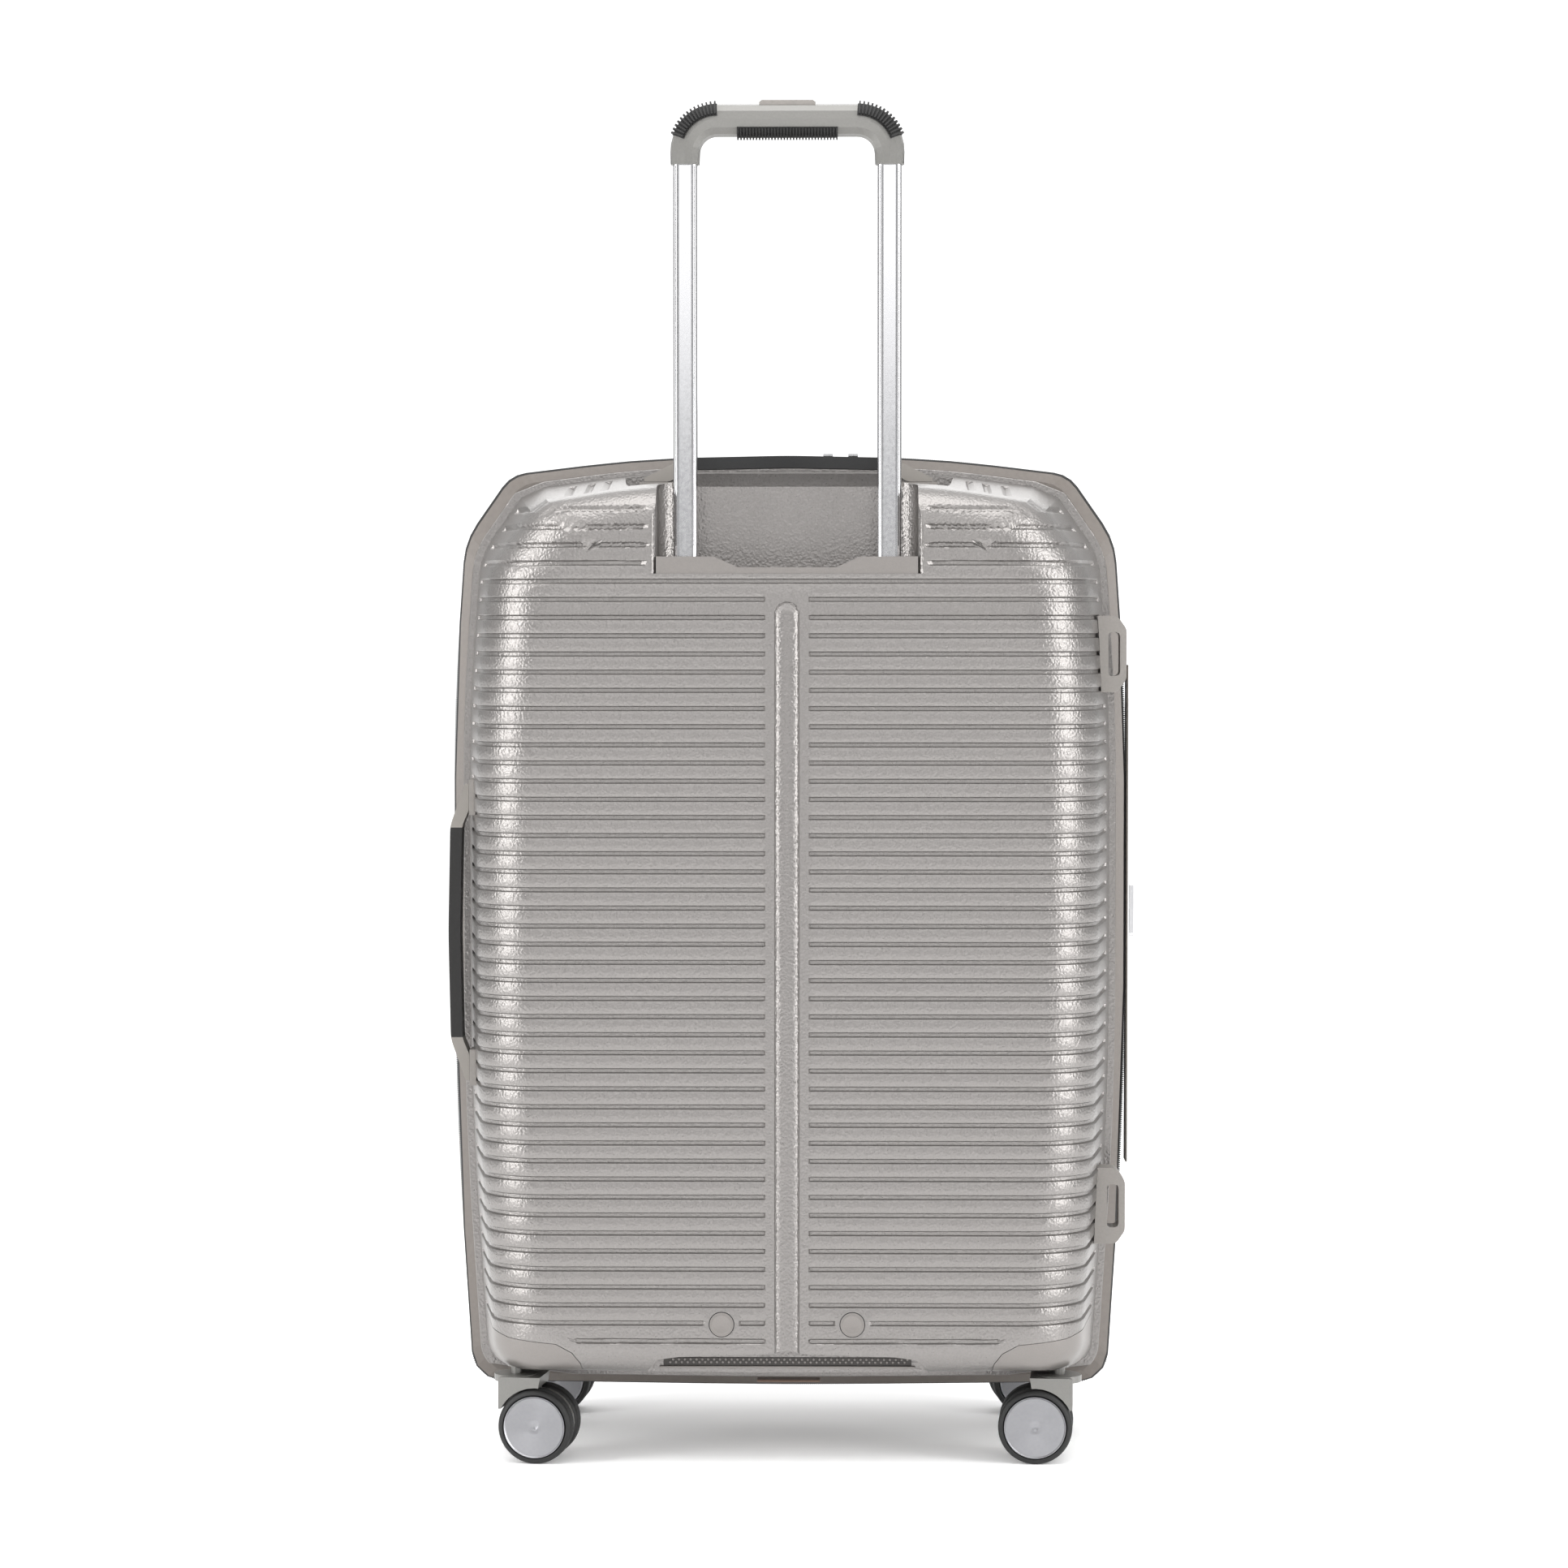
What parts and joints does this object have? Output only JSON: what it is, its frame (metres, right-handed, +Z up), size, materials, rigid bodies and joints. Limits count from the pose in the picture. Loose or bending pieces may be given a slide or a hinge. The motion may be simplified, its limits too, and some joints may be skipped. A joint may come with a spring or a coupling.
{
  "type": "hard shell spinner suitcase",
  "caption": "Hard shell suitcase in two zipped half shells, with an expander, a telescopic trolley handle, carry handles, a dial lock and swivelling twin-wheel casters.",
  "frame": {"origin": "on the floor under the middle of the case", "axes": "+Z up, +X towards the hinge and the side feet, +Y towards the lock half, -Y towards the trolley half"},
  "size_m": [0.526, 0.3008, 1.0208],
  "materials": {
    "shell": "satin polycarbonate with a fine texture",
    "lining": "woven polyester",
    "piping": "soft vinyl",
    "zip": "coil zip on woven tape",
    "band": "woven fabric",
    "fittings": "satin moulded",
    "bracket": "moulded",
    "tube": "polished, bright anodised",
    "grip": "satin moulded",
    "pad": "ribbed",
    "button": "moulded",
    "yoke": "moulded",
    "handle": "soft rubber with moulded ends",
    "lock": "satin",
    "lock_key": "moulded",
    "pull": "polished",
    "fork": "satin moulded",
    "wheel": "rubber tyre with a bright disc"
  },
  "bodies": {
    "case": {"back_shell": "shell", "back_lining": "lining", "back_piping": "piping", "trolley_bezel": "fittings", "outer_tube_left": "tube", "outer_tube_right": "tube", "tube_base_bracket": "bracket", "tube_plug_left": "fittings", "tube_plug_right": "fittings", "caster_housing_back_left": "fittings", "caster_housing_back_right": "fittings", "top_handle_plate_left": "fittings", "top_handle_plate_right": "fittings", "side_handle_plate_lower": "fittings", "side_handle_plate_upper": "fittings", "side_foot_back_lower": "fittings", "side_foot_back_upper": "fittings"},
    "middle": {"expansion_zip": "zip", "middle_band": "band", "expander_gusset": "band", "hinge_strip": "band"},
    "expansion_pull": {"expansion_pull": "pull"},
    "front": {"main_zip": "zip", "front_piping": "piping", "front_shell": "shell", "front_lining": "lining", "caster_housing_front_left": "fittings", "caster_housing_front_right": "fittings", "side_foot_front_lower": "fittings", "side_foot_front_upper": "fittings", "lock_body": "lock"},
    "lock_dial_1": {"lock_dial_1": "lock_key"},
    "lock_dial_2": {"lock_dial_2": "lock_key"},
    "lock_dial_3": {"lock_dial_3": "lock_key"},
    "lock_button": {"lock_button": "lock_key"},
    "zip_pull_left": {"zip_pull_left": "pull"},
    "zip_pull_right": {"zip_pull_right": "pull"},
    "trolley": {"inner_tube_left": "tube", "inner_tube_right": "tube", "trolley_grip": "grip", "palm_pad": "pad", "corner_pad_left": "pad", "corner_pad_right": "pad"},
    "grip_button": {"grip_button": "button", "release_yoke": "yoke"},
    "top_handle": {"top_handle_grip": "handle"},
    "side_handle": {"side_handle_grip": "handle"},
    "caster_back_left": {"caster_fork_back_left": "fork"},
    "wheel_back_left_outer": {"caster_wheel_back_left_outer": "wheel"},
    "wheel_back_left_inner": {"caster_wheel_back_left_inner": "wheel"},
    "caster_back_right": {"caster_fork_back_right": "fork"},
    "wheel_back_right_outer": {"caster_wheel_back_right_outer": "wheel"},
    "wheel_back_right_inner": {"caster_wheel_back_right_inner": "wheel"},
    "caster_front_left": {"caster_fork_front_left": "fork"},
    "wheel_front_left_outer": {"caster_wheel_front_left_outer": "wheel"},
    "wheel_front_left_inner": {"caster_wheel_front_left_inner": "wheel"},
    "caster_front_right": {"caster_fork_front_right": "fork"},
    "wheel_front_right_outer": {"caster_wheel_front_right_outer": "wheel"},
    "wheel_front_right_inner": {"caster_wheel_front_right_inner": "wheel"}
  },
  "joints": [
    {"name": "expansion_slide", "type": "slide", "parent": "case", "child": "middle", "axis": [0, 1, 0], "range_m": [0, 0.03]},
    {"name": "front_hinge", "type": "hinge", "parent": "middle", "child": "front", "pos_m": [0.269, 0.00285, 0.4075], "axis": [0, 0, -1], "range_deg": [0, 180]},
    {"name": "expansion_pull_hinge", "type": "hinge", "parent": "middle", "child": "expansion_pull", "pos_m": [0.2646, -0.0056, 0.429], "axis": [1, 0, 0], "range_deg": [-80, 80]},
    {"name": "trolley_slide", "type": "slide", "parent": "case", "child": "trolley", "axis": [0, 0, 1], "range_m": [-0.29, 0]},
    {"name": "grip_button_slide", "type": "slide", "parent": "trolley", "child": "grip_button", "axis": [0, 0, -1], "range_m": [0, 0.003], "stiffness_N_per_m": 400, "springref_m": -0.004},
    {"name": "top_handle_slide", "type": "slide", "parent": "case", "child": "top_handle", "axis": [0, 0, 1], "range_m": [0, 0.012]},
    {"name": "side_handle_slide", "type": "slide", "parent": "case", "child": "side_handle", "axis": [-1, 0, 0], "range_m": [0, 0.012], "stiffness_N_per_m": 400, "springref_m": -0.004},
    {"name": "lock_button_slide", "type": "slide", "parent": "front", "child": "lock_button", "axis": [0, 0, -1], "range_m": [0, 0.0015], "stiffness_N_per_m": 300, "springref_m": -0.002},
    {"name": "zip_pull_left_hinge", "type": "hinge", "parent": "front", "child": "zip_pull_left", "pos_m": [0.0296, 0.0056, 0.7625], "axis": [1, 0, 0], "range_deg": [0, 150]},
    {"name": "zip_pull_right_hinge", "type": "hinge", "parent": "front", "child": "zip_pull_right", "pos_m": [0.049, 0.0056, 0.7625], "axis": [1, 0, 0], "range_deg": [0, 150]},
    {"name": "lock_dial_1_turn", "type": "hinge", "parent": "front", "child": "lock_dial_1", "pos_m": [0.022, 0.0475, 0.7463], "axis": [1, 0, 0], "continuous": true},
    {"name": "lock_dial_2_turn", "type": "hinge", "parent": "front", "child": "lock_dial_2", "pos_m": [0.03, 0.0475, 0.7463], "axis": [1, 0, 0], "continuous": true},
    {"name": "lock_dial_3_turn", "type": "hinge", "parent": "front", "child": "lock_dial_3", "pos_m": [0.038, 0.0475, 0.7463], "axis": [1, 0, 0], "continuous": true},
    {"name": "caster_back_left_swivel", "type": "hinge", "parent": "case", "child": "caster_back_left", "pos_m": [-0.2055, -0.105, 0.0655], "axis": [0, 0, 1], "continuous": true},
    {"name": "wheel_back_left_outer_spin", "type": "hinge", "parent": "caster_back_left", "child": "wheel_back_left_outer", "pos_m": [-0.18768, -0.10751, 0.028], "axis": [0.1392, 0.9903, 0], "continuous": true},
    {"name": "wheel_back_left_inner_spin", "type": "hinge", "parent": "caster_back_left", "child": "wheel_back_left_inner", "pos_m": [-0.18768, -0.10751, 0.028], "axis": [0.1392, 0.9903, 0], "continuous": true},
    {"name": "caster_back_right_swivel", "type": "hinge", "parent": "case", "child": "caster_back_right", "pos_m": [0.2055, -0.105, 0.0655], "axis": [0, 0, 1], "continuous": true},
    {"name": "wheel_back_right_outer_spin", "type": "hinge", "parent": "caster_back_right", "child": "wheel_back_right_outer", "pos_m": [0.18754, -0.10374, 0.028], "axis": [-0.0698, -0.9976, 0], "continuous": true},
    {"name": "wheel_back_right_inner_spin", "type": "hinge", "parent": "caster_back_right", "child": "wheel_back_right_inner", "pos_m": [0.18754, -0.10374, 0.028], "axis": [-0.0698, -0.9976, 0], "continuous": true},
    {"name": "caster_front_left_swivel", "type": "hinge", "parent": "front", "child": "caster_front_left", "pos_m": [-0.2055, 0.105, 0.0655], "axis": [0, 0, 1], "continuous": true},
    {"name": "wheel_front_left_outer_spin", "type": "hinge", "parent": "caster_front_left", "child": "wheel_front_left_outer", "pos_m": [-0.18757, 0.10343, 0.028], "axis": [0.0872, 0.9962, 0], "continuous": true},
    {"name": "wheel_front_left_inner_spin", "type": "hinge", "parent": "caster_front_left", "child": "wheel_front_left_inner", "pos_m": [-0.18757, 0.10343, 0.028], "axis": [0.0872, 0.9962, 0], "continuous": true},
    {"name": "caster_front_right_swivel", "type": "hinge", "parent": "front", "child": "caster_front_right", "pos_m": [0.2055, 0.105, 0.0655], "axis": [0, 0, 1], "continuous": true},
    {"name": "wheel_front_right_outer_spin", "type": "hinge", "parent": "caster_front_right", "child": "wheel_front_right_outer", "pos_m": [0.1876, 0.10312, 0.028], "axis": [0.1045, -0.9945, 0], "continuous": true},
    {"name": "wheel_front_right_inner_spin", "type": "hinge", "parent": "caster_front_right", "child": "wheel_front_right_inner", "pos_m": [0.1876, 0.10312, 0.028], "axis": [0.1045, -0.9945, 0], "continuous": true}
  ]
}
